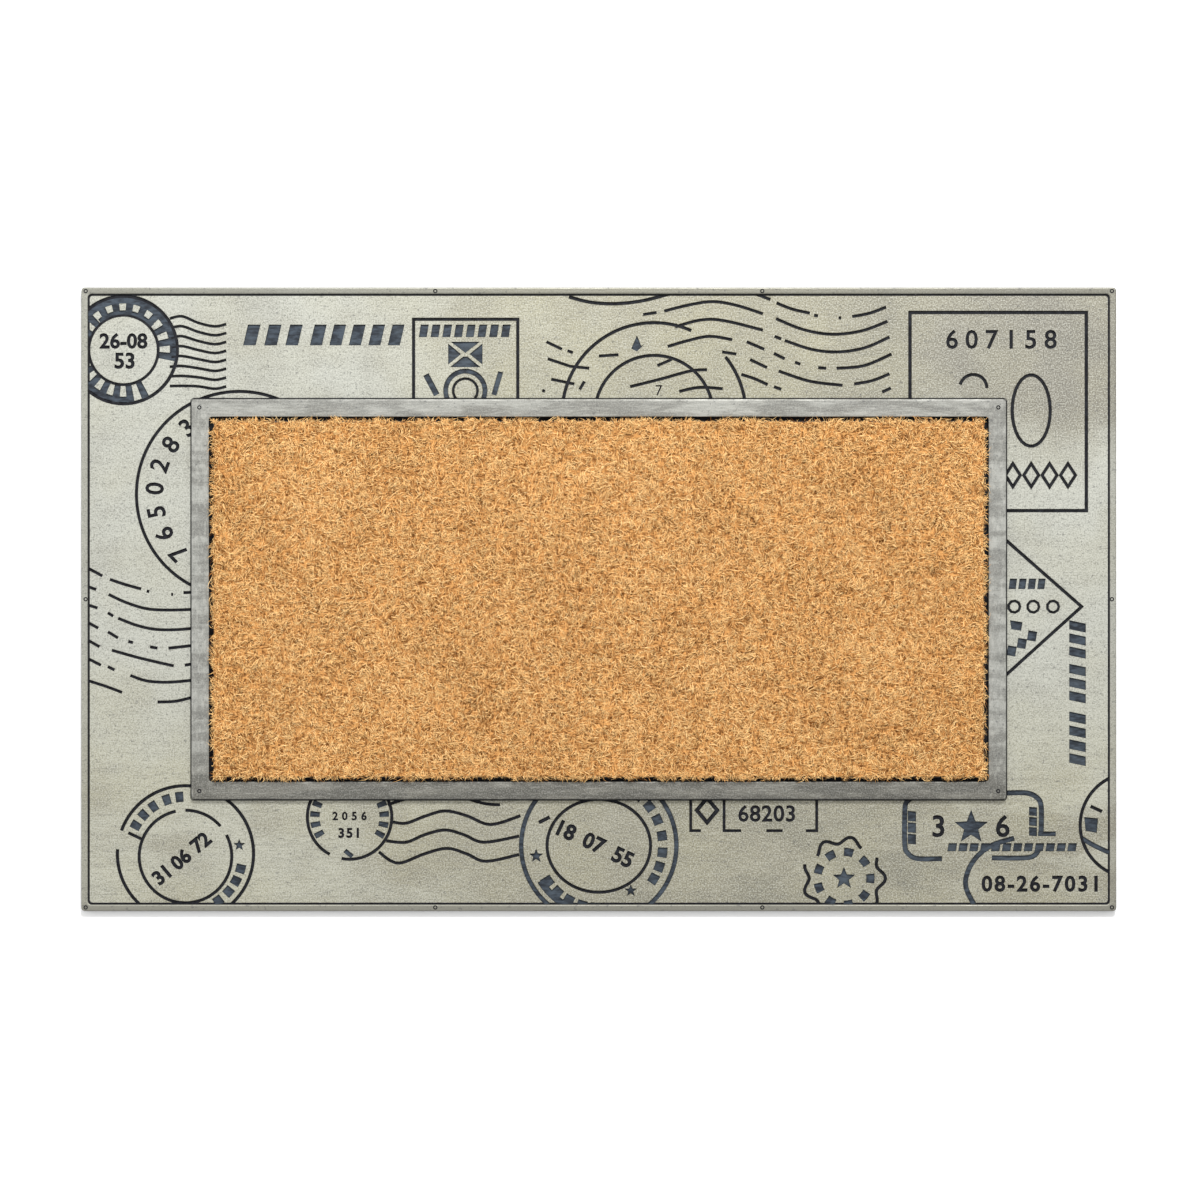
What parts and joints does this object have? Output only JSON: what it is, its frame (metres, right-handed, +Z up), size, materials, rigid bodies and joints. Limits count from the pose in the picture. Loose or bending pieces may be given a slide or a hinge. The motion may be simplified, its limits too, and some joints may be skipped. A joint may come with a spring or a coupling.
{
  "type": "door mat",
  "caption": "Rectangular door mat: a moulded rubber tray with a rim, an engraved border and a raised inner frame, holding a lift-out coir insert.",
  "frame": {"origin": "centre of the footprint, on the surface that the mat lies on", "axes": "+X along the long side, +Y across the mat to the edge nearest the door, +Z up"},
  "size_m": [0.76, 0.458, 0.014],
  "materials": {
    "painted_rubber": "black rubber with antique silver paint rubbed over its raised faces, satin",
    "backing_pvc": "black PVC, matte",
    "coir_fibre": "golden brown coir, cut pile"
  },
  "bodies": {
    "tray": {"rubber_tray": "painted_rubber"},
    "coir_insert": {"coir_backing": "backing_pvc", "coir_pile": "coir_fibre"}
  },
  "joints": [
    {"name": "insert_lift", "type": "slide", "parent": "tray", "child": "coir_insert", "axis": [0, 0, 1], "range_m": [0, 0.05]}
  ]
}
